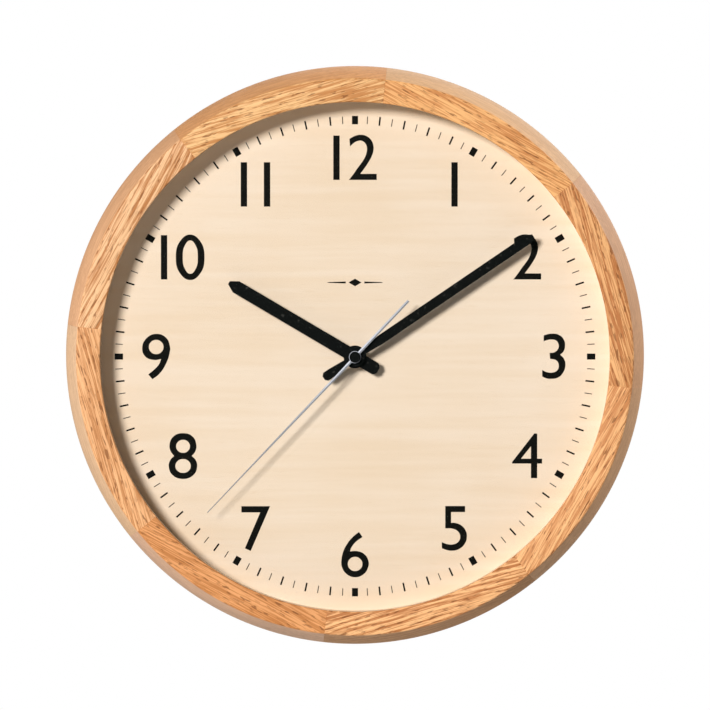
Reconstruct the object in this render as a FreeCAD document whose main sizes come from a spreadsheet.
"""Round quartz wall clock in an eight-stave oak frame, as a parametric FreeCAD document.

Millimetres, +Z up.  The clock's axis is the Y axis, the wall plane is y = 0 and the dial
faces -Y.  A depth is a distance from the wall towards the viewer, so y = -depth.  Clock
angles turn clockwise from twelve, as the viewer sees them.
"""

import FreeCAD, Part
import os
import re
import Sketcher
from FreeCAD import Vector

doc = FreeCAD.newDocument("WallClock")
owner = {}


def fill(name, cells):
    """Make a sheet with one aliased cell for each name."""
    sheet = doc.addObject("Spreadsheet::Sheet", name)
    for row, (alias, content) in enumerate(cells.items(), 1):
        sheet.set(f"A{row}", alias)
        sheet.set(f"B{row}", str(content) if name == "Sizes" else "=" + link(content))
        sheet.setAlias(f"B{row}", alias)
        owner[alias] = name
    doc.recompute()
    return sheet


def link(text):
    """Write each size's name in an expression with the sheet that owns it."""
    def owned(word):
        name = word[0]
        return f"{owner[name]}.{name}" if name in owner else name
    return re.sub(r"[a-z]\w*", owned, text)


def size(alias):
    """Read the present value of a named size."""
    return float(getattr(doc.getObject(owner[alias]), alias))


fill("Sizes", {
    # Oak frame: overall size, the taper of its side and its front face
    "overall_diameter": 300,
    "overall_depth": 45,
    "side_taper": 8.3,
    "opening_diameter": 259.6,
    "lip_thickness": 2,
    "edge_round": 0.7,
    "stave_count": 8,
    "first_joint_angle": 6.3,
    # Glass, spacer ring, dial board and back board, and the ledges that hold them
    "glass_thickness": 2,
    "glass_ledge": 4.5,
    "glass_gap": 0.3,
    "spacer_height": 12.5,
    "spacer_width": 3.4,
    "dial_thickness": 3,
    "dial_ledge": 5,
    "board_gap": 0.3,
    "back_thickness": 3,
    "back_ledge": 3.7,
    "window_width": 66,
    # Wood screws
    "shank_radius": 0.8,
    "head_radius": 1.7,
    "head_height": 1.1,
    "drive_slot_width": 0.5,
    "drive_slot_depth": 0.5,
    "dial_screw_bite": 6.5,
    "back_screw_bite": 7,
    "hanger_screw_bite": 1.6,
    "back_screw_count": 4,
    "pilot_gap": 0.05,
    "pilot_run_out": 0.2,
    # Keyhole hanger, let into the back board
    "hanger_height": 104,
    "hanger_width": 24,
    "hanger_length": 48,
    "hanger_thickness": 1.2,
    "hanger_gap": 0.2,
    "hanger_hole_radius": 4.5,
    "hanger_slot_width": 4.2,
    "hanger_slot_rise": 10,
    "hanger_screw_reach": 18,
    "nail_pocket_margin": 2,
    # Movement case
    "case_width": 58,
    "case_depth": 17,
    "case_wall": 1.2,
    "case_corner": 3,
    "front_case_depth": 6,
    "gasket_thickness": 0.5,
    "gasket_radius": 15,
    # Threaded bushing, washer and nut that clamp the movement to the dial board
    "bushing_radius": 3.6,
    "bushing_flange_radius": 5.2,
    "bushing_flange_thickness": 0.8,
    "bushing_hole_gap": 0.3,
    "washer_thickness": 0.5,
    "washer_radius": 5.4,
    "nut_across_flats": 9.4,
    "nut_thickness": 2,
    "bushing_stand_out": 0.4,
    # Concentric pipes of the hands
    "second_arbor_radius": 0.5,
    "minute_pipe_radius": 1.5,
    "hour_pipe_radius": 2.5,
    "running_gap": 0.05,
    # Hands: heights are of each hand's rear face above the dial
    "hour_hand_height": 5.1,
    "minute_hand_height": 7.9,
    "second_hand_height": 10.6,
    "hand_thickness": 0.5,
    "collar_wall": 0.8,
    "collar_length": 1.2,
    "hour_hand_reach": 74.8,
    "hour_hand_tail": 13.8,
    "hour_hand_width": 6.6,
    "hour_tip_width": 1.8,
    "hour_tip_length": 4.2,
    "hour_tail_cut": 1.7,
    "hour_boss_radius": 5.85,
    "hour_hand_angle": 300.5,
    "minute_hand_reach": 110,
    "minute_hand_tail": 19.3,
    "minute_hand_width": 4.85,
    "minute_neck_margin": 0.25,
    "minute_shoulder": 16,
    "minute_tip_width": 2,
    "minute_tip_length": 3,
    "minute_tail_cut": 1.3,
    "minute_boss_radius": 5,
    "minute_hand_angle": 55.8,
    "second_hand_reach": 109.5,
    "second_hand_tail": 39.7,
    "second_hand_width": 1.55,
    "second_tip_width": 0.5,
    "second_tail_width": 1.3,
    "second_ridge": 0.4,
    "second_boss_radius": 3.1,
    "second_boss_thickness": 0.25,
    "second_hand_angle": 223.5,
    "cap_radius": 2.85,
    "cap_height": 0.7,
    # Motion work: tooth counts, arbor places and wheel thicknesses
    "cannon_teeth": 15,
    "minute_wheel_teeth": 45,
    "minute_pinion_teeth": 12,
    "hour_wheel_teeth": 48,
    "setting_teeth": 15,
    "motion_distance": 12,
    "minute_wheel_bearing": 55,
    "setting_bearing": 15,
    "motion_wheel_thickness": 0.9,
    "motion_pinion_length": 1.2,
    "setting_arbor_radius": 1.5,
    "knob_radius": 5.5,
    "knob_height": 3,
    "knob_grip_count": 18,
    "knob_grip_depth": 0.35,
    # Running train: tooth counts, arbor places and wheel thicknesses
    "second_pinion_teeth": 8,
    "third_wheel_teeth": 60,
    "third_pinion_teeth": 8,
    "centre_wheel_teeth": 64,
    "second_wheel_teeth": 60,
    "fifth_pinion_teeth": 12,
    "fifth_wheel_teeth": 48,
    "rotor_teeth": 8,
    "third_distance": 11.55,
    "third_bearing": 300,
    "fifth_distance": 12.2,
    "fifth_bearing": 20,
    "rotor_distance": 7.28,
    "rotor_bearing": 305,
    "train_wheel_thickness": 0.8,
    "pinion_overlap": 0.2,
    "pivot_radius": 0.4,
    "arbor_radius": 0.7,
    "pivot_length": 0.5,
    "socket_radius": 1.1,
    "end_shake": 0.1,
    "magnet_radius": 3,
    "magnet_thickness": 1.6,
    "magnet_gap": 0.6,
    "spring_thickness": 0.2,
    "spring_radius": 3.4,
    # Tooth shape, in modules and in shares of the pitch; the foot is sunk below the root
    "tooth_rise": 0.75,
    "tooth_root": 1.2,
    "tooth_foot": 0.2,
    "tooth_width": 0.36,
    "tooth_tip": 0.15,
    # Heights inside the movement, each above the case's rear face
    "fifth_rise": 2.6,
    "second_rise": 4.3,
    "motor_rise": 5.9,
    "third_rise": 8.2,
    "centre_rise": 10.1,
    "train_plate_rise": 11.7,
    "train_plate_thickness": 0.6,
    "minute_rise": 12.7,
    "hour_rise": 14.1,
    # Battery and its contacts
    "battery_radius": 7.25,
    "battery_length": 49.2,
    "battery_nub_radius": 2.75,
    "battery_nub_length": 1.3,
    "battery_play": 0.4,
    "contact_thickness": 0.4,
    "contact_width": 8,
    # Electronics and motor
    "board_width": 14,
    "board_height": 20,
    "board_thickness": 1,
    "board_rise": 4.6,
    "crystal_radius": 1.5,
    "crystal_length": 6,
    "chip_radius": 2.6,
    "chip_height": 0.9,
    "coil_height": 23.5,
    "coil_radius": 3.4,
    "coil_length": 18,
    "coil_middle": -12.5,
    "bobbin_wall": 0.8,
    "bobbin_flange": 0.8,
    "winding_gap": 0.3,
    "core_height": 1.4,
    "core_width": 3,
    "stator_thickness": 1.2,
    "stator_lug": 3,
    "stator_bridge": 0.6,
    "stator_coil_gap": 0.2,
})

fill("Levels", {
    # Radii of the frame's rebates and of what stands in them
    "frame_radius": "overall_diameter / 2",
    "face_radius": "overall_diameter / 2 - side_taper",
    "opening_radius": "opening_diameter / 2",
    "glass_bore": "opening_diameter / 2 + glass_ledge",
    "dial_bore": "opening_diameter / 2 + glass_ledge + dial_ledge",
    "back_bore": "opening_diameter / 2 + glass_ledge + dial_ledge + back_ledge",
    "dial_screw_radius": "opening_diameter / 2 + glass_ledge + dial_ledge / 2",
    "back_screw_radius": "opening_diameter / 2 + glass_ledge + dial_ledge + back_ledge / 2",
    "stave_angle": "360 / stave_count",
    "minute_neck_width": "2 * (minute_pipe_radius + minute_neck_margin)",
    # Depths of the sandwich, from the front face back
    "glass_front": "overall_depth - lip_thickness",
    "glass_rear": "overall_depth - lip_thickness - glass_thickness",
    "dial_front": "overall_depth - lip_thickness - glass_thickness - spacer_height",
})
fill("Places", {
    "dial_rear": "dial_front - dial_thickness",
    "case_front": "dial_front - dial_thickness - gasket_thickness",
    "case_rear": "dial_front - dial_thickness - gasket_thickness - case_depth",
    "case_split": "dial_front - dial_thickness - gasket_thickness - front_case_depth",
    "nut_front": "dial_front + washer_thickness + nut_thickness",
    "hour_rear": "dial_front + hour_hand_height",
    "minute_rear": "dial_front + minute_hand_height",
    "second_rear": "dial_front + second_hand_height",
    # Modules, from each pair's distance and teeth
    "cannon_module": "2 * motion_distance / (cannon_teeth + minute_wheel_teeth)",
    "hour_module": "2 * motion_distance / (minute_pinion_teeth + hour_wheel_teeth)",
    "third_module": "2 * third_distance / (second_pinion_teeth + third_wheel_teeth)",
    "centre_module": "2 * third_distance / (third_pinion_teeth + centre_wheel_teeth)",
    "second_module": "2 * fifth_distance / (fifth_pinion_teeth + second_wheel_teeth)",
    "rotor_module": "2 * rotor_distance / (rotor_teeth + fifth_wheel_teeth)",
    "setting_distance": "motion_distance * (setting_teeth + minute_wheel_teeth)"
    " / (cannon_teeth + minute_wheel_teeth)",
    # Arbor places across the movement
    "minute_x": "motion_distance * sin(minute_wheel_bearing)",
    "minute_z": "motion_distance * cos(minute_wheel_bearing)",
    "third_x": "third_distance * sin(third_bearing)",
    "third_z": "third_distance * cos(third_bearing)",
    "fifth_x": "fifth_distance * sin(fifth_bearing)",
    "fifth_z": "fifth_distance * cos(fifth_bearing)",
    # Clock angle of each wheel's first tooth, so that its teeth stand in its neighbour's gaps
    "minute_phase": "minute_wheel_bearing + 180 - 180 / minute_wheel_teeth"
    " + minute_wheel_bearing * cannon_teeth / minute_wheel_teeth",
    "third_phase": "third_bearing + 180 - 180 / third_wheel_teeth"
    " + third_bearing * second_pinion_teeth / third_wheel_teeth",
    "fifth_phase": "fifth_bearing + 180 - 180 / fifth_pinion_teeth"
    " + fifth_bearing * second_wheel_teeth / fifth_pinion_teeth",
    "inner_half": "case_width / 2 - case_wall",
    "battery_z": "-(case_width / 2 - case_wall - battery_play - battery_radius)",
})
fill("Trains", {
    "setting_x": "minute_x + setting_distance * sin(setting_bearing)",
    "setting_z": "minute_z + setting_distance * cos(setting_bearing)",
    "rotor_x": "fifth_x + rotor_distance * sin(rotor_bearing)",
    "rotor_z": "fifth_z + rotor_distance * cos(rotor_bearing)",
    "hour_phase": "minute_wheel_bearing - 180 / hour_wheel_teeth"
    " + (minute_wheel_bearing + 180 - minute_phase) * minute_pinion_teeth / hour_wheel_teeth",
    "setting_phase": "setting_bearing + 180 - 180 / setting_teeth"
    " + (setting_bearing - minute_phase) * minute_wheel_teeth / setting_teeth",
    "centre_phase": "third_bearing - 180 / centre_wheel_teeth"
    " + (third_bearing + 180 - third_phase) * third_pinion_teeth / centre_wheel_teeth",
    "rotor_phase": "rotor_bearing + 180 - 180 / rotor_teeth"
    " + (rotor_bearing - fifth_phase) * fifth_wheel_teeth / rotor_teeth",
    "battery_depth": "case_front - case_wall - battery_play - battery_radius",
    "bay_wall_z": "battery_z + battery_radius + battery_play",
    "case_floor": "case_rear + case_wall",
    # Depths inside the movement
    "fifth_level": "case_rear + fifth_rise",
    "second_level": "case_rear + second_rise",
    "motor_level": "case_rear + motor_rise",
    "magnet_level": "case_rear + motor_rise + stator_thickness / 2 - magnet_thickness / 2",
    "third_level": "case_rear + third_rise",
    "centre_level": "case_rear + centre_rise",
    "train_plate_level": "case_rear + train_plate_rise",
    "minute_level": "case_rear + minute_rise",
    "hour_level": "case_rear + hour_rise",
    "board_level": "case_rear + board_rise",
    "chip_front": "case_rear + board_rise + board_thickness + chip_height",
    "cap_front": "second_rear + second_ridge + cap_height",
})


def new_body(label):
    """Start one piece."""
    body = doc.addObject("PartDesign::Body", label)
    body.Label = label
    body.AllowCompound = True
    return body


def place(body, x="0", z="0", angle="0"):
    """Set a finished piece on its arbor, turned to a clock angle."""
    placement = f"placement(vector({x}; 0; {z}); rotation(vector(0; 1; 0); {angle}))"
    body.setExpression("Placement", link(placement))


def new_sketch(body, plane="XZ_Plane", offset="0"):
    """Add a sketch on one of the body's own planes; on XZ the offset is a depth."""
    sketch = body.newObject("Sketcher::SketchObject", body.Name + "_sketch")
    plane_object = next(item for item in body.Origin.OriginFeatures if item.Role == plane)
    sketch.AttachmentSupport = [(plane_object, "")]
    sketch.MapMode = "FlatFace"
    sketch.setExpression("AttachmentOffset.Base.z", link(offset))
    return sketch


def dimension(sketch, kind, elements, text):
    """Constrain a sketch with a size written as an expression."""
    text = link(text)
    index = sketch.addConstraint(Sketcher.Constraint(kind, *elements, abs(evaluate(sketch, text)) or 0.0))
    sketch.setExpression(f"Constraints[{index}]", text)


def evaluate(sketch, text):
    """Value of an expression as a plain number."""
    value = sketch.evalExpression(text)
    return float(getattr(value, "Value", value))


def circle(sketch, radius, x="0", y="0"):
    """Draw a circle of a named radius about a named point."""
    centre = Vector(evaluate(sketch, link(x)), evaluate(sketch, link(y)), 0)
    edge = sketch.addGeometry(Part.Circle(centre, Vector(0, 0, 1), evaluate(sketch, link(radius))))
    fix(sketch, edge, 3, x, y)
    dimension(sketch, "Radius", (edge,), radius)


def fix(sketch, edge, end, x, y):
    """Hold one point of an edge at named distances from the sketch's origin."""
    for kind, text in (("DistanceX", link(x)), ("DistanceY", link(y))):
        distance = Sketcher.Constraint(kind, -1, 1, edge, end, evaluate(sketch, text))
        index = sketch.addConstraint(distance)
        sketch.setExpression(f"Constraints[{index}]", text)


def end_at(sketch, edge, point):
    """Which end of an edge lies at a point, 1 or 2; an arc always runs anticlockwise."""
    away = (sketch.getPoint(edge, 1) - point).Length
    return 1 if away < (sketch.getPoint(edge, 2) - point).Length else 2


def outline(sketch, points, arc_side=None, arc_radius=None, arc_bulge=0.0):
    """Draw a closed outline of straight sides; one side may be an arc of a named radius."""
    ends = [Vector(evaluate(sketch, link(x)), evaluate(sketch, link(y)), 0) for x, y in points]
    first = sketch.GeometryCount
    count = len(points)
    for side in range(count):
        start = ends[side]
        end = ends[(side + 1) % count]
        if side == arc_side:
            middle = (start + end) / 2 + Vector(arc_bulge, 0, 0)
            sketch.addGeometry(Part.Arc(start, middle, end))
        else:
            sketch.addGeometry(Part.LineSegment(start, end))
    for side, (x, y) in enumerate(points):
        before = (side - 1) % count
        begin = end_at(sketch, first + side, ends[side])
        finish = end_at(sketch, first + before, ends[side])
        meeting = Sketcher.Constraint("Coincident", first + before, finish, first + side, begin)
        sketch.addConstraint(meeting)
        fix(sketch, first + side, begin, x, y)
    if arc_side is not None:
        dimension(sketch, "Radius", (first + arc_side,), arc_radius)


def rectangle(sketch, left, right, bottom, top):
    """Draw a rectangle between four named sides."""
    outline(sketch, [(left, bottom), (right, bottom), (right, top), (left, top)])


def add(body, sketch, length):
    """Pad a sketch away from its plane, which on XZ is towards the viewer."""
    pad = body.newObject("PartDesign::Pad", body.Name + "_pad")
    pad.Profile = sketch
    pad.setExpression("Length", link(length))
    doc.recompute()
    return pad


def cut(body, sketch, length):
    """Cut a sketch out of the body, away from its plane, and check that something went."""
    before = body.Shape.Volume
    pocket = body.newObject("PartDesign::Pocket", body.Name + "_pocket")
    pocket.Profile = sketch
    pocket.Reversed = True
    pocket.setExpression("Length", link(length))
    doc.recompute()
    if not body.Shape.Volume < before:
        raise RuntimeError(f"{body.Label}: a pocket cuts nothing")
    return pocket


def turn(body, sketch, angle="360"):
    """Revolve a sketch of radii and depths about the clock's axis or the body's own."""
    solid = body.newObject("PartDesign::Revolution", body.Name + "_turned")
    solid.Profile = sketch
    solid.ReferenceAxis = (sketch, ["V_Axis"])
    solid.setExpression("Angle", link(angle))
    doc.recompute()
    return solid


def repeat(body, features, count, sketch):
    """Repeat features round the axis through the body's own origin."""
    pattern = body.newObject("PartDesign::PolarPattern", body.Name + "_round")
    pattern.Originals = features
    pattern.Axis = (sketch, ["N_Axis"])
    pattern.Angle = 360
    pattern.setExpression("Occurrences", link(count))
    body.Tip = pattern
    doc.recompute()
    return pattern


def dress(body, kind, amount, wanted):
    """Round or chamfer the edges that a test picks."""
    base = body.Tip
    names = [f"Edge{number}" for number, edge in enumerate(base.Shape.Edges, 1) if wanted(edge)]
    if not names:
        raise RuntimeError(f"{body.Label}: no edge to dress")
    feature = body.newObject(f"PartDesign::{kind}", f"{body.Name}_{kind.lower()}")
    feature.Base = (base, names)
    feature.setExpression("Radius" if kind == "Fillet" else "Size", link(amount))
    doc.recompute()
    return feature


def at_depth(alias):
    """Test for an edge that lies wholly at a named depth."""
    depth = size(alias)

    def lies_there(edge):
        return max(abs(edge.BoundBox.YMin + depth), abs(edge.BoundBox.YMax + depth)) < 1e-4
    return lies_there


def along_depth(edge):
    """Test for a straight edge that runs along the clock's axis."""
    return edge.BoundBox.XLength < 1e-4 and edge.BoundBox.ZLength < 1e-4


def is_round(edge):
    """Test for a round edge."""
    return edge.Curve.TypeId == "Part::GeomCircle"


def disc(label, radius, depth, thickness, bore=None):
    """Make a flat disc or washer square to the clock's axis."""
    body = new_body(label)
    face = new_sketch(body, offset=depth)
    circle(face, radius)
    if bore:
        circle(face, bore)
    add(body, face, thickness)
    return body


def ring(body, radius, depth, length, bore=None, x="0", z="0"):
    """Add a disc or tube about a point to a body."""
    face = new_sketch(body, offset=depth)
    circle(face, radius, x, z)
    if bore:
        circle(face, bore, x, z)
    return add(body, face, length)


def toothed(body, teeth, module, depth, thickness, bore=None):
    """Add a spur wheel to a body, with its first tooth at twelve."""
    root = f"{module} * ({teeth} / 2 - tooth_root)"
    pitch = f"{module} * {teeth} / 2"
    tip = f"{module} * ({teeth} / 2 + tooth_rise)"
    flank = f"(180 * tooth_width / {teeth})"
    nose = f"(180 * tooth_tip / {teeth})"
    foot = f"({root} - {module} * tooth_foot)"
    ring(body, root, depth, thickness, bore)
    tooth = new_sketch(body, offset=depth)
    right = [(f"{foot} * sin({flank})", f"{foot} * cos({flank})")]
    right += [(f"{pitch} * sin({flank})", f"{pitch} * cos({flank})")]
    right += [(f"{tip} * sin({nose})", f"{tip} * cos({nose})")]
    left = [(f"-1 * {x}", z) for x, z in reversed(right)]
    outline(tooth, right + left)
    repeat(body, [add(body, tooth, thickness)], teeth, tooth)


# Oak frame: eight staves, glued end to end, each turned from one profile of radius and depth.
# Its side is an arc that leaves the wall plane square and leans in towards the front.
def frame_stave(number):
    body = new_body(f"frame_stave_{number}")
    profile = new_sketch(body, "XY_Plane")
    outline(
        profile,
        [
            ("frame_radius", "0"),
            ("face_radius", "-overall_depth"),
            ("opening_radius", "-overall_depth"),
            ("opening_radius", "-glass_front"),
            ("glass_bore", "-glass_front"),
            ("glass_bore", "-dial_front"),
            ("dial_bore", "-dial_front"),
            ("dial_bore", "-back_thickness"),
            ("back_bore", "-back_thickness"),
            ("back_bore", "0"),
        ],
        arc_side=0,
        arc_radius="(overall_depth * overall_depth + side_taper * side_taper) / (2 * side_taper)",
        arc_bulge=size("side_taper") / 4,
    )
    turn(body, profile, "stave_angle")
    stave_middle = "stave_angle / 2"
    pilot = new_sketch(body, offset="dial_front")
    circle(
        pilot,
        "shank_radius + pilot_gap",
        f"dial_screw_radius * cos({stave_middle})",
        f"-dial_screw_radius * sin({stave_middle})",
    )
    cut(body, pilot, "dial_screw_bite + pilot_run_out")
    if number % 2:
        pilot = new_sketch(body, offset="back_thickness")
        circle(
            pilot,
            "shank_radius + pilot_gap",
            f"back_screw_radius * cos({stave_middle})",
            f"-back_screw_radius * sin({stave_middle})",
        )
        cut(body, pilot, "back_screw_bite + pilot_run_out")
    at_front = at_depth("overall_depth")
    dress(body, "Fillet", "edge_round", lambda edge: at_front(edge) and is_round(edge))
    place(body, angle=f"first_joint_angle - 90 + stave_angle * {number - 1}")


for number in range(1, int(size("stave_count")) + 1):
    frame_stave(number)


# Wood screws with a slotted head, one group for the dial board and one for the back board
def screws(label, radius, head_depth, bite_depth, bite, count, start):
    body = new_body(label)
    shank_face = new_sketch(body, offset=f"{head_depth} + head_height")
    circle(shank_face, "shank_radius", "0", radius)
    shank = add(body, shank_face, f"{bite_depth} + {bite} - {head_depth} - head_height")
    head_face = new_sketch(body, offset=head_depth)
    circle(head_face, "head_radius", "0", radius)
    head = add(body, head_face, "head_height")
    slot_face = new_sketch(body, offset=head_depth)
    rectangle(
        slot_face,
        "-head_radius",
        "head_radius",
        f"{radius} - drive_slot_width / 2",
        f"{radius} + drive_slot_width / 2",
    )
    slot = cut(body, slot_face, "drive_slot_depth")
    repeat(body, [shank, head, slot], count, slot_face)
    place(body, angle=start)


# Glass: a flat disc that stands behind the frame's lip, its edges broken all round
glass = disc("front_glass", "glass_bore - glass_gap", "glass_rear", "glass_thickness")
dress(glass, "Chamfer", "glass_gap", is_round)

# Spacer ring: a strip bent round inside the frame, between the glass and the dial board
disc(
    "spacer_ring",
    "glass_bore - glass_gap",
    "dial_front",
    "spacer_height",
    "glass_bore - glass_gap - spacer_width",
)

# Dial board: plywood with the printed face veneer, on the frame's second ledge
dial = disc(
    "dial_board",
    "dial_bore - board_gap",
    "dial_rear",
    "dial_thickness",
    "bushing_radius + bushing_hole_gap",
)
hole = new_sketch(dial, offset="dial_rear")
circle(hole, "shank_radius + pilot_gap", "0", "dial_screw_radius")
repeat(dial, [cut(dial, hole, "dial_thickness")], "stave_count", hole)
place(dial, angle="first_joint_angle + stave_angle / 2")
screws(
    "dial_board_screws",
    "dial_screw_radius",
    "dial_rear - head_height",
    "dial_front",
    "dial_screw_bite",
    "stave_count",
    "first_joint_angle + stave_angle / 2",
)

# Back board: flush with the wall plane, open behind the movement, sunk for the hanger plate
back = disc("back_board", "back_bore - board_gap", "0", "back_thickness")
window = new_sketch(back)
rectangle(window, "-window_width / 2", "window_width / 2", "-window_width / 2", "window_width / 2")
cut(back, window, "back_thickness")
recess = new_sketch(back)
rectangle(
    recess,
    "-(hanger_width / 2 + hanger_gap)",
    "hanger_width / 2 + hanger_gap",
    "hanger_height - hanger_length / 2 - hanger_gap",
    "hanger_height + hanger_length / 2 + hanger_gap",
)
cut(back, recess, "hanger_thickness")
nail_pocket = new_sketch(back)
rectangle(
    nail_pocket,
    "-(hanger_hole_radius + nail_pocket_margin)",
    "hanger_hole_radius + nail_pocket_margin",
    "hanger_height - hanger_hole_radius - nail_pocket_margin",
    "hanger_height + hanger_slot_rise + hanger_slot_width / 2 + nail_pocket_margin",
)
cut(back, nail_pocket, "back_thickness")
for end in (-1, 1):
    hole = new_sketch(back)
    circle(hole, "shank_radius + pilot_gap", "0", f"hanger_height + {end} * hanger_screw_reach")
    cut(back, hole, "back_thickness")
for corner in range(int(size("back_screw_count"))):
    angle = f"(first_joint_angle + stave_angle / 2 + {corner} * 360 / back_screw_count)"
    hole = new_sketch(back)
    circle(
        hole,
        "shank_radius + pilot_gap",
        f"back_screw_radius * sin({angle})",
        f"back_screw_radius * cos({angle})",
    )
    cut(back, hole, "back_thickness")
    sink = new_sketch(back)
    circle(
        sink,
        "head_radius + pilot_gap",
        f"back_screw_radius * sin({angle})",
        f"back_screw_radius * cos({angle})",
    )
    cut(back, sink, "head_height + pilot_gap")
screws(
    "back_board_screws",
    "back_screw_radius",
    "pilot_gap",
    "back_thickness",
    "back_screw_bite",
    "back_screw_count",
    "first_joint_angle + stave_angle / 2",
)

# Hanger plate: pressed steel with a keyhole, flush with the wall plane, and its two screws
plate = new_body("hanger_plate")
face = new_sketch(plate)
rectangle(
    face,
    "-hanger_width / 2",
    "hanger_width / 2",
    "hanger_height - hanger_length / 2",
    "hanger_height + hanger_length / 2",
)
add(plate, face, "hanger_thickness")
dress(plate, "Fillet", "hanger_width / 4", along_depth)
keyhole = new_sketch(plate)
circle(keyhole, "hanger_hole_radius", "0", "hanger_height")
cut(plate, keyhole, "hanger_thickness")
neck = new_sketch(plate)
rectangle(
    neck,
    "-hanger_slot_width / 2",
    "hanger_slot_width / 2",
    "hanger_height",
    "hanger_height + hanger_slot_rise",
)
cut(plate, neck, "hanger_thickness")
neck_end = new_sketch(plate)
circle(neck_end, "hanger_slot_width / 2", "0", "hanger_height + hanger_slot_rise")
cut(plate, neck_end, "hanger_thickness")
fixings = new_body("hanger_screws")
for end in (-1, 1):
    middle = f"hanger_height + {end} * hanger_screw_reach"
    hole = new_sketch(plate)
    circle(hole, "shank_radius + pilot_gap", "0", middle)
    cut(plate, hole, "hanger_thickness")
    sink = new_sketch(plate)
    circle(sink, "head_radius + pilot_gap", "0", middle)
    cut(plate, sink, "hanger_thickness / 2")
    ring(fixings, "head_radius", "pilot_gap", "hanger_thickness / 2 - pilot_gap", x="0", z=middle)
    ring(
        fixings,
        "shank_radius",
        "hanger_thickness / 2",
        "hanger_thickness / 2 + hanger_screw_bite",
        x="0",
        z=middle,
    )


# Movement case: two black shells that meet at the split, with the battery bay open to the rear
def shell(label, wall_depth, wall_length, outer_depth):
    """Make a square shell: a floor plate and walls of the case's wall thickness."""
    body = new_body(label)
    outside = new_sketch(body, offset=outer_depth)
    rectangle(outside, "-case_width / 2", "case_width / 2", "-case_width / 2", "case_width / 2")
    add(body, outside, f"{wall_length} + case_wall")
    dress(body, "Fillet", "case_corner", along_depth)
    inside = new_sketch(body, offset=wall_depth)
    rectangle(inside, "-inner_half", "inner_half", "-inner_half", "inner_half")
    cut(body, inside, wall_length)
    return body


front_case = shell("movement_front_case", "case_split", "front_case_depth - case_wall", "case_split")
bushing_hole = new_sketch(front_case, offset="case_front - case_wall")
circle(bushing_hole, "bushing_radius + running_gap")
cut(front_case, bushing_hole, "case_wall")
# The minute wheel turns on a post that stands on the front plate
ring(
    front_case,
    "arbor_radius",
    "train_plate_level + train_plate_thickness",
    "case_front - case_wall - train_plate_level - train_plate_thickness",
    x="minute_x",
    z="minute_z",
)

rear_case = shell("movement_rear_case", "case_floor", "case_split - case_floor", "case_rear")
bay = new_sketch(rear_case, offset="case_rear")
rectangle(
    bay,
    "-(battery_length / 2 + battery_nub_length + battery_play)",
    "battery_length / 2 + battery_nub_length + battery_play",
    "battery_z - battery_radius - battery_play / 2",
    "battery_z + battery_radius + battery_play / 2",
)
cut(rear_case, bay, "case_wall")
bay_wall = new_sketch(rear_case, offset="case_floor")
rectangle(bay_wall, "-inner_half", "inner_half", "bay_wall_z", "bay_wall_z + case_wall")
add(rear_case, bay_wall, "case_split - case_floor")
knob_hole = new_sketch(rear_case, offset="case_rear")
circle(knob_hole, "setting_arbor_radius + running_gap", "setting_x", "setting_z")
cut(rear_case, knob_hole, "case_wall")

# Train plate: carries the front pivots and keeps the motion work apart from the train
train_plate = new_body("train_plate")
face = new_sketch(train_plate, offset="train_plate_level")
rectangle(
    face,
    "-(inner_half - end_shake)",
    "inner_half - end_shake",
    "bay_wall_z + case_wall",
    "inner_half - end_shake",
)
circle(face, "minute_pipe_radius + running_gap")
circle(face, "setting_arbor_radius + running_gap", "setting_x", "setting_z")
add(train_plate, face, "train_plate_thickness")


def bearing(x, z, wheel_front, wheel_rear):
    """Add the two sockets that a train arbor's pivots turn in, one on each side of it."""
    ring(
        train_plate,
        "socket_radius",
        f"{wheel_front} + end_shake",
        f"train_plate_level - end_shake - {wheel_front}",
        "pivot_radius + running_gap",
        x,
        z,
    )
    ring(
        rear_case,
        "socket_radius",
        "case_floor",
        f"{wheel_rear} - end_shake - case_floor",
        "pivot_radius + running_gap",
        x,
        z,
    )


# Third wheel, fifth wheel and rotor: each is a moulded arbor with its pinion and two pivots
def arbor(label, x, z, phase, rear, front):
    """Start a train arbor that runs between two depths, with a pivot past each end."""
    rear = f"({rear})"
    front = f"({front})"
    body = new_body(label)
    ring(body, "arbor_radius", rear, f"{front} - {rear}")
    for start in (f"{rear} - pivot_length", front):
        ring(body, "pivot_radius", start, "pivot_length")
    place(body, x, z, phase)
    bearing(x, z, front, rear)
    return body


third = arbor(
    "third_wheel",
    "third_x",
    "third_z",
    "third_phase",
    "third_level - pinion_overlap",
    "centre_level + train_wheel_thickness + pinion_overlap",
)
toothed(third, "third_wheel_teeth", "third_module", "third_level", "train_wheel_thickness")
toothed(
    third,
    "third_pinion_teeth",
    "centre_module",
    "third_level + train_wheel_thickness",
    "centre_level + pinion_overlap - third_level",
)

fifth = arbor(
    "fifth_wheel",
    "fifth_x",
    "fifth_z",
    "fifth_phase",
    "fifth_level - pinion_overlap",
    "second_level + train_wheel_thickness + pinion_overlap",
)
toothed(fifth, "fifth_wheel_teeth", "rotor_module", "fifth_level", "train_wheel_thickness")
toothed(
    fifth,
    "fifth_pinion_teeth",
    "second_module",
    "fifth_level + train_wheel_thickness",
    "second_level + pinion_overlap - fifth_level",
)

# Rotor: a ring magnet on a plastic pinion, inside the stator's round gap
rotor = arbor(
    "rotor_pinion",
    "rotor_x",
    "rotor_z",
    "rotor_phase",
    "fifth_level - pinion_overlap",
    "magnet_level + magnet_thickness",
)
toothed(
    rotor,
    "rotor_teeth",
    "rotor_module",
    "fifth_level - pinion_overlap",
    "train_wheel_thickness + 2 * pinion_overlap",
)
magnet = disc("rotor_magnet", "magnet_radius", "magnet_level", "magnet_thickness", "arbor_radius")
place(magnet, "rotor_x", "rotor_z")

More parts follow.
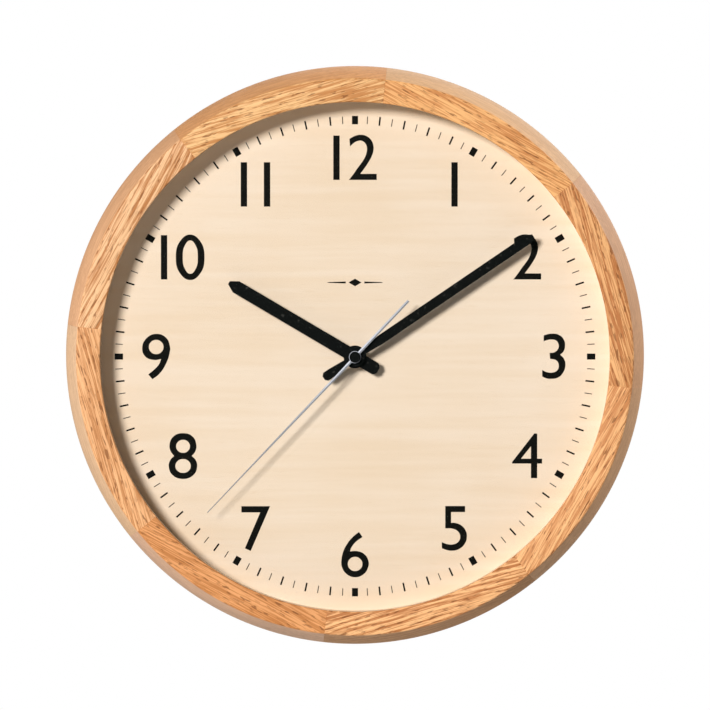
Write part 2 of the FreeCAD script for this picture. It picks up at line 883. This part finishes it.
# Second wheel with its pinion, on the steel arbor that carries the second hand
second_wheel = new_body("second_wheel")
toothed(
    second_wheel,
    "second_wheel_teeth",
    "second_module",
    "second_level",
    "train_wheel_thickness",
    "second_arbor_radius",
)
toothed(
    second_wheel,
    "second_pinion_teeth",
    "third_module",
    "second_level + train_wheel_thickness",
    "third_level + pinion_overlap - second_level",
    "second_arbor_radius",
)
disc(
    "second_arbor",
    "second_arbor_radius",
    "case_floor + end_shake",
    "second_rear + second_ridge - case_floor - end_shake",
)
ring(
    rear_case,
    "socket_radius + second_arbor_radius",
    "case_floor",
    "second_level - end_shake - case_floor",
    "second_arbor_radius + running_gap",
)

# Centre wheel: turned by the train once an hour; it grips the minute pipe through a spring
centre_wheel = new_body("centre_wheel")
toothed(
    centre_wheel,
    "centre_wheel_teeth",
    "centre_module",
    "centre_level",
    "train_wheel_thickness",
    "minute_pipe_radius + running_gap",
)
place(centre_wheel, angle="centre_phase")
disc(
    "clutch_spring",
    "spring_radius",
    "centre_level + train_wheel_thickness",
    "spring_thickness",
    "minute_pipe_radius",
)

# Minute pipe with the cannon pinion, which carries the minute hand
minute_pipe = disc(
    "minute_pipe",
    "minute_pipe_radius",
    "centre_level",
    "minute_rear + hand_thickness - centre_level",
    "second_arbor_radius + running_gap",
)
toothed(
    minute_pipe,
    "cannon_teeth",
    "cannon_module",
    "minute_level",
    "motion_wheel_thickness + pinion_overlap",
    "minute_pipe_radius",
)

# Minute wheel with its pinion, on the post of the front plate
minute_wheel = new_body("minute_wheel")
toothed(
    minute_wheel,
    "minute_wheel_teeth",
    "cannon_module",
    "minute_level",
    "motion_wheel_thickness",
    "arbor_radius + running_gap",
)
toothed(
    minute_wheel,
    "minute_pinion_teeth",
    "hour_module",
    "minute_level + motion_wheel_thickness",
    "hour_level + motion_pinion_length - minute_level - motion_wheel_thickness",
    "arbor_radius + running_gap",
)
place(minute_wheel, "minute_x", "minute_z", "minute_phase")

# Hour wheel and its pipe, which carries the hour hand
hour_wheel = disc(
    "hour_wheel",
    "hour_pipe_radius",
    "hour_level",
    "hour_rear + hand_thickness - hour_level",
    "minute_pipe_radius + running_gap",
)
toothed(
    hour_wheel,
    "hour_wheel_teeth",
    "hour_module",
    "hour_level",
    "motion_wheel_thickness",
    "hour_pipe_radius",
)
place(hour_wheel, angle="hour_phase")

# Setting pinion on its long arbor, and the ribbed knob behind the case
setting_pinion = new_body("setting_pinion")
ring(
    setting_pinion,
    "setting_arbor_radius",
    "case_rear - knob_height",
    "minute_level + knob_height - case_rear",
)
toothed(
    setting_pinion,
    "setting_teeth",
    "cannon_module",
    "minute_level",
    "motion_wheel_thickness + pinion_overlap",
)
place(setting_pinion, "setting_x", "setting_z", "setting_phase")
knob = disc(
    "setting_knob",
    "knob_radius",
    "case_rear - end_shake - knob_height",
    "knob_height",
    "setting_arbor_radius",
)
groove = new_sketch(knob, offset="case_rear - end_shake - knob_height")
circle(groove, "2 * knob_grip_depth", "0", "knob_radius + knob_grip_depth")
repeat(knob, [cut(knob, groove, "knob_height")], "knob_grip_count", groove)
place(knob, "setting_x", "setting_z")

# Bushing, gasket, washer and nut: they clamp the movement to the dial board
disc(
    "mounting_bushing",
    "bushing_radius",
    "case_front - case_wall",
    "nut_front + bushing_stand_out - case_front + case_wall",
    "hour_pipe_radius + running_gap",
)
disc(
    "rubber_gasket",
    "gasket_radius",
    "case_front",
    "gasket_thickness",
    "bushing_radius + bushing_hole_gap",
)
disc(
    "mounting_washer",
    "washer_radius",
    "dial_front",
    "washer_thickness",
    "bushing_radius + bushing_hole_gap",
)
nut = new_body("mounting_nut")
face = new_sketch(nut, offset="dial_front + washer_thickness")
corner_reach = "nut_across_flats / 2 / cos(30)"
outline(
    face,
    [
        (f"{corner_reach} * sin({turn_by})", f"{corner_reach} * cos({turn_by})")
        for turn_by in range(0, 360, 60)
    ],
)
circle(face, "bushing_radius")
add(nut, face, "nut_thickness")

# Hour hand: a flat black blade with a boss, on a collar pressed over the hour pipe
hour_hand = disc(
    "hour_hand",
    "hour_pipe_radius + collar_wall",
    "hour_rear - collar_length",
    "collar_length",
    "hour_pipe_radius",
)
blade = new_sketch(hour_hand, offset="hour_rear")
right_side = [
    ("hour_tip_width / 2", "hour_hand_reach"),
    ("hour_hand_width / 2", "hour_hand_reach - hour_tip_length"),
    ("hour_hand_width / 2", "hour_tail_cut - hour_hand_tail"),
    ("hour_hand_width / 2 - hour_tail_cut", "-hour_hand_tail"),
]
outline(blade, right_side + [(f"-({x})", z) for x, z in reversed(right_side)])
circle(blade, "hour_pipe_radius")
add(hour_hand, blade, "hand_thickness")
ring(hour_hand, "hour_boss_radius", "hour_rear", "hand_thickness", "hour_pipe_radius")
place(hour_hand, angle="hour_hand_angle")

# Minute hand: necked in towards its boss, on a collar pressed over the minute pipe
minute_hand = disc(
    "minute_hand",
    "minute_pipe_radius + collar_wall",
    "minute_rear - collar_length",
    "collar_length",
    "minute_pipe_radius",
)
blade = new_sketch(minute_hand, offset="minute_rear")
right_side = [
    ("minute_tip_width / 2", "minute_hand_reach"),
    ("minute_hand_width / 2", "minute_hand_reach - minute_tip_length"),
    ("minute_hand_width / 2", "minute_shoulder"),
    ("minute_neck_width / 2", "minute_boss_radius"),
    ("minute_neck_width / 2", "-minute_boss_radius"),
    ("minute_hand_width / 2", "-minute_hand_tail * 3 / 4"),
    ("minute_hand_width / 2", "minute_tail_cut - minute_hand_tail"),
    ("minute_hand_width / 2 - minute_tail_cut", "-minute_hand_tail"),
]
outline(blade, right_side + [(f"-({x})", z) for x, z in reversed(right_side)])
circle(blade, "minute_pipe_radius")
add(minute_hand, blade, "hand_thickness")
ring(minute_hand, "minute_boss_radius", "minute_rear", "hand_thickness", "minute_pipe_radius")
place(minute_hand, angle="minute_hand_angle")

# Second hand: a thin blade folded to a ridge, on a boss pressed on the arbor, with a black cap
second_hand = disc(
    "second_hand",
    "second_boss_radius",
    "second_rear",
    "second_boss_thickness",
    "second_arbor_radius",
)
ring(
    second_hand,
    "second_arbor_radius + collar_wall",
    "second_rear - collar_length",
    "collar_length",
    "second_arbor_radius",
)


def ridge(width, height):
    """Draw the folded blade's triangular section, square to its length."""
    section = new_sketch(second_hand, "XY_Plane", height)
    outline(
        section,
        [
            (f"-{width} / 2", "-second_rear"),
            (f"{width} / 2", "-second_rear"),
            ("0", "-(second_rear + second_ridge)"),
        ],
    )
    return section


# The blade starts just outside the arbor on each side, inside the boss
blade_start = "second_arbor_radius + collar_wall"
for start, tip_width, tip in (
    (blade_start, "second_tip_width", "second_hand_reach"),
    (f"-({blade_start})", "second_tail_width", "-second_hand_tail"),
):
    blade = second_hand.newObject("PartDesign::AdditiveLoft", "second_hand_blade")
    blade.Profile = ridge("second_hand_width", start)
    blade.Sections = [ridge(tip_width, tip)]
    blade.Ruled = True
    doc.recompute()
place(second_hand, angle="second_hand_angle")
cap = disc("second_hand_cap", "cap_radius", "second_rear + second_ridge", "cap_height")
dress(cap, "Fillet", "cap_height / 2", at_depth("cap_front"))

# Battery cell, which lies across the bottom of the case and comes out through the bay
battery = new_body("battery_cell")
face = new_sketch(battery, "YZ_Plane", "-battery_length / 2 - battery_nub_length / 2")
circle(face, "battery_radius", "-battery_depth", "battery_z")
add(battery, face, "battery_length")
dress(battery, "Fillet", "battery_nub_length / 2", is_round)
nub = new_body("battery_nub")
face = new_sketch(nub, "YZ_Plane", "battery_length / 2 - battery_nub_length / 2")
circle(face, "battery_nub_radius", "-battery_depth", "battery_z")
add(nub, face, "battery_nub_length")

# Battery contacts: a sprung leaf at each end, bent towards the cell
for label, side in (("contact_positive", 1), ("contact_negative", -1)):
    contact = new_body(label)
    leaf = new_sketch(contact, "XY_Plane", "battery_z - contact_width / 2")
    wall = f"{side} * (inner_half - end_shake)"
    bend = f"{side} * (battery_length / 2 + battery_nub_length / 2 + end_shake)"
    thick = f"{side} * contact_thickness"
    outline(
        leaf,
        [
            (wall, "-(battery_depth - battery_radius / 2)"),
            (f"{bend} + {thick}", "-battery_depth"),
            (wall, "-(battery_depth + battery_radius / 2)"),
            (f"{wall} - {thick}", "-(battery_depth + battery_radius / 2)"),
            (bend, "-battery_depth"),
            (f"{wall} - {thick}", "-(battery_depth - battery_radius / 2)"),
        ],
    )
    add(contact, leaf, "contact_width")

# Circuit board with the quartz crystal's can and the driver chip
circuit = new_body("circuit_board")
face = new_sketch(circuit, offset="board_level")
board_right = "inner_half - end_shake"
board_bottom = "bay_wall_z + case_wall + end_shake"
rectangle(
    face,
    f"{board_right} - board_width",
    board_right,
    board_bottom,
    f"{board_bottom} + board_height",
)
add(circuit, face, "board_thickness")
crystal = new_body("quartz_crystal")
face = new_sketch(crystal, "XY_Plane", f"{board_bottom} + board_height / 2 - crystal_length")
circle(
    face,
    "crystal_radius",
    f"{board_right} - 2 * crystal_radius",
    "-(board_level + board_thickness + crystal_radius)",
)
add(crystal, face, "crystal_length")
dress(crystal, "Fillet", "crystal_radius / 3", is_round)
chip = new_body("driver_chip")
chip_x = f"{board_right} - board_width / 2"
chip_z = f"{board_bottom} + board_height - 2 * chip_radius"
ring(chip, "chip_radius", "board_level + board_thickness", "chip_height", None, chip_x, chip_z)
dress(chip, "Fillet", "chip_height * 3 / 5", at_depth("chip_front"))

# Motor: the coil on its bobbin, the iron core through it and the stator that it magnetises
coil_depth = "(motor_level + stator_thickness + core_height / 2)"
bobbin = new_body("coil_bobbin")
winding = new_body("coil_winding")
core = new_body("coil_core")
for body, radius, start, length in (
    (bobbin, "core_width / 2 + bobbin_wall", "-coil_length / 2", "coil_length"),
    (bobbin, "coil_radius", "-coil_length / 2", "bobbin_flange"),
    (bobbin, "coil_radius", "coil_length / 2 - bobbin_flange", "bobbin_flange"),
    (
        winding,
        "coil_radius - winding_gap",
        "-coil_length / 2 + bobbin_flange",
        "coil_length - 2 * bobbin_flange",
    ),
):
    face = new_sketch(body, "YZ_Plane", f"coil_middle + {start}")
    circle(face, radius, f"-{coil_depth}", "coil_height")
    add(body, face, length)
for body, half_width, half_height in (
    (bobbin, "core_width / 2 + running_gap", "core_height / 2 + running_gap"),
    (core, "core_width / 2", "core_height / 2"),
):
    face = new_sketch(body, "YZ_Plane", "coil_middle - coil_length / 2 - stator_lug")
    rectangle(
        face,
        f"-{coil_depth} - ({half_height})",
        f"-{coil_depth} + ({half_height})",
        f"coil_height - ({half_width})",
        f"coil_height + ({half_width})",
    )
    if body is core:
        add(body, face, "coil_length + 2 * stator_lug")
    else:
        cut(body, face, "coil_length + 2 * stator_lug")
hollow = new_sketch(winding, "YZ_Plane", "coil_middle - coil_length / 2")
circle(hollow, "core_width / 2 + bobbin_wall", f"-{coil_depth}", "coil_height")
cut(winding, hollow, "coil_length")
stator = new_body("stator_plate")
face = new_sketch(stator, offset="motor_level")
lug_left = "coil_middle - coil_length / 2 - stator_lug"
lug_right = "coil_middle + coil_length / 2 + stator_lug"
limb_top = "coil_height - coil_radius - stator_coil_gap"
limb_bottom = "rotor_z - magnet_radius - magnet_gap - stator_bridge"
lug_top = "coil_height + core_width / 2"
outline(
    face,
    [
        (lug_left, limb_bottom),
        ("rotor_x + magnet_radius + magnet_gap + stator_bridge", limb_bottom),
        ("rotor_x + magnet_radius + magnet_gap + stator_bridge", limb_top),
        (lug_right, limb_top),
        (lug_right, lug_top),
        (f"{lug_right} - stator_lug + end_shake", lug_top),
        (f"{lug_right} - stator_lug + end_shake", limb_top),
        (f"{lug_left} + stator_lug - end_shake", limb_top),
        (f"{lug_left} + stator_lug - end_shake", lug_top),
        (lug_left, lug_top),
    ],
)
circle(face, "magnet_radius + magnet_gap", "rotor_x", "rotor_z")
add(stator, face, "stator_thickness")


doc.recompute()
pieces = [item for item in doc.Objects if item.isDerivedFrom("PartDesign::Body")]
faults = [item.Name for item in doc.Objects if {"Invalid", "Error"} & set(item.State)]
faults += [piece.Label for piece in pieces if piece.Shape.isNull() or not piece.Shape.isValid()]
if faults:
    raise RuntimeError(f"faulty objects: {faults}")

os.makedirs("parts", exist_ok=True)
for piece in pieces:
    piece.Shape.exportStep(os.path.join("parts", piece.Label + ".step"))
print(len(pieces), "pieces written")
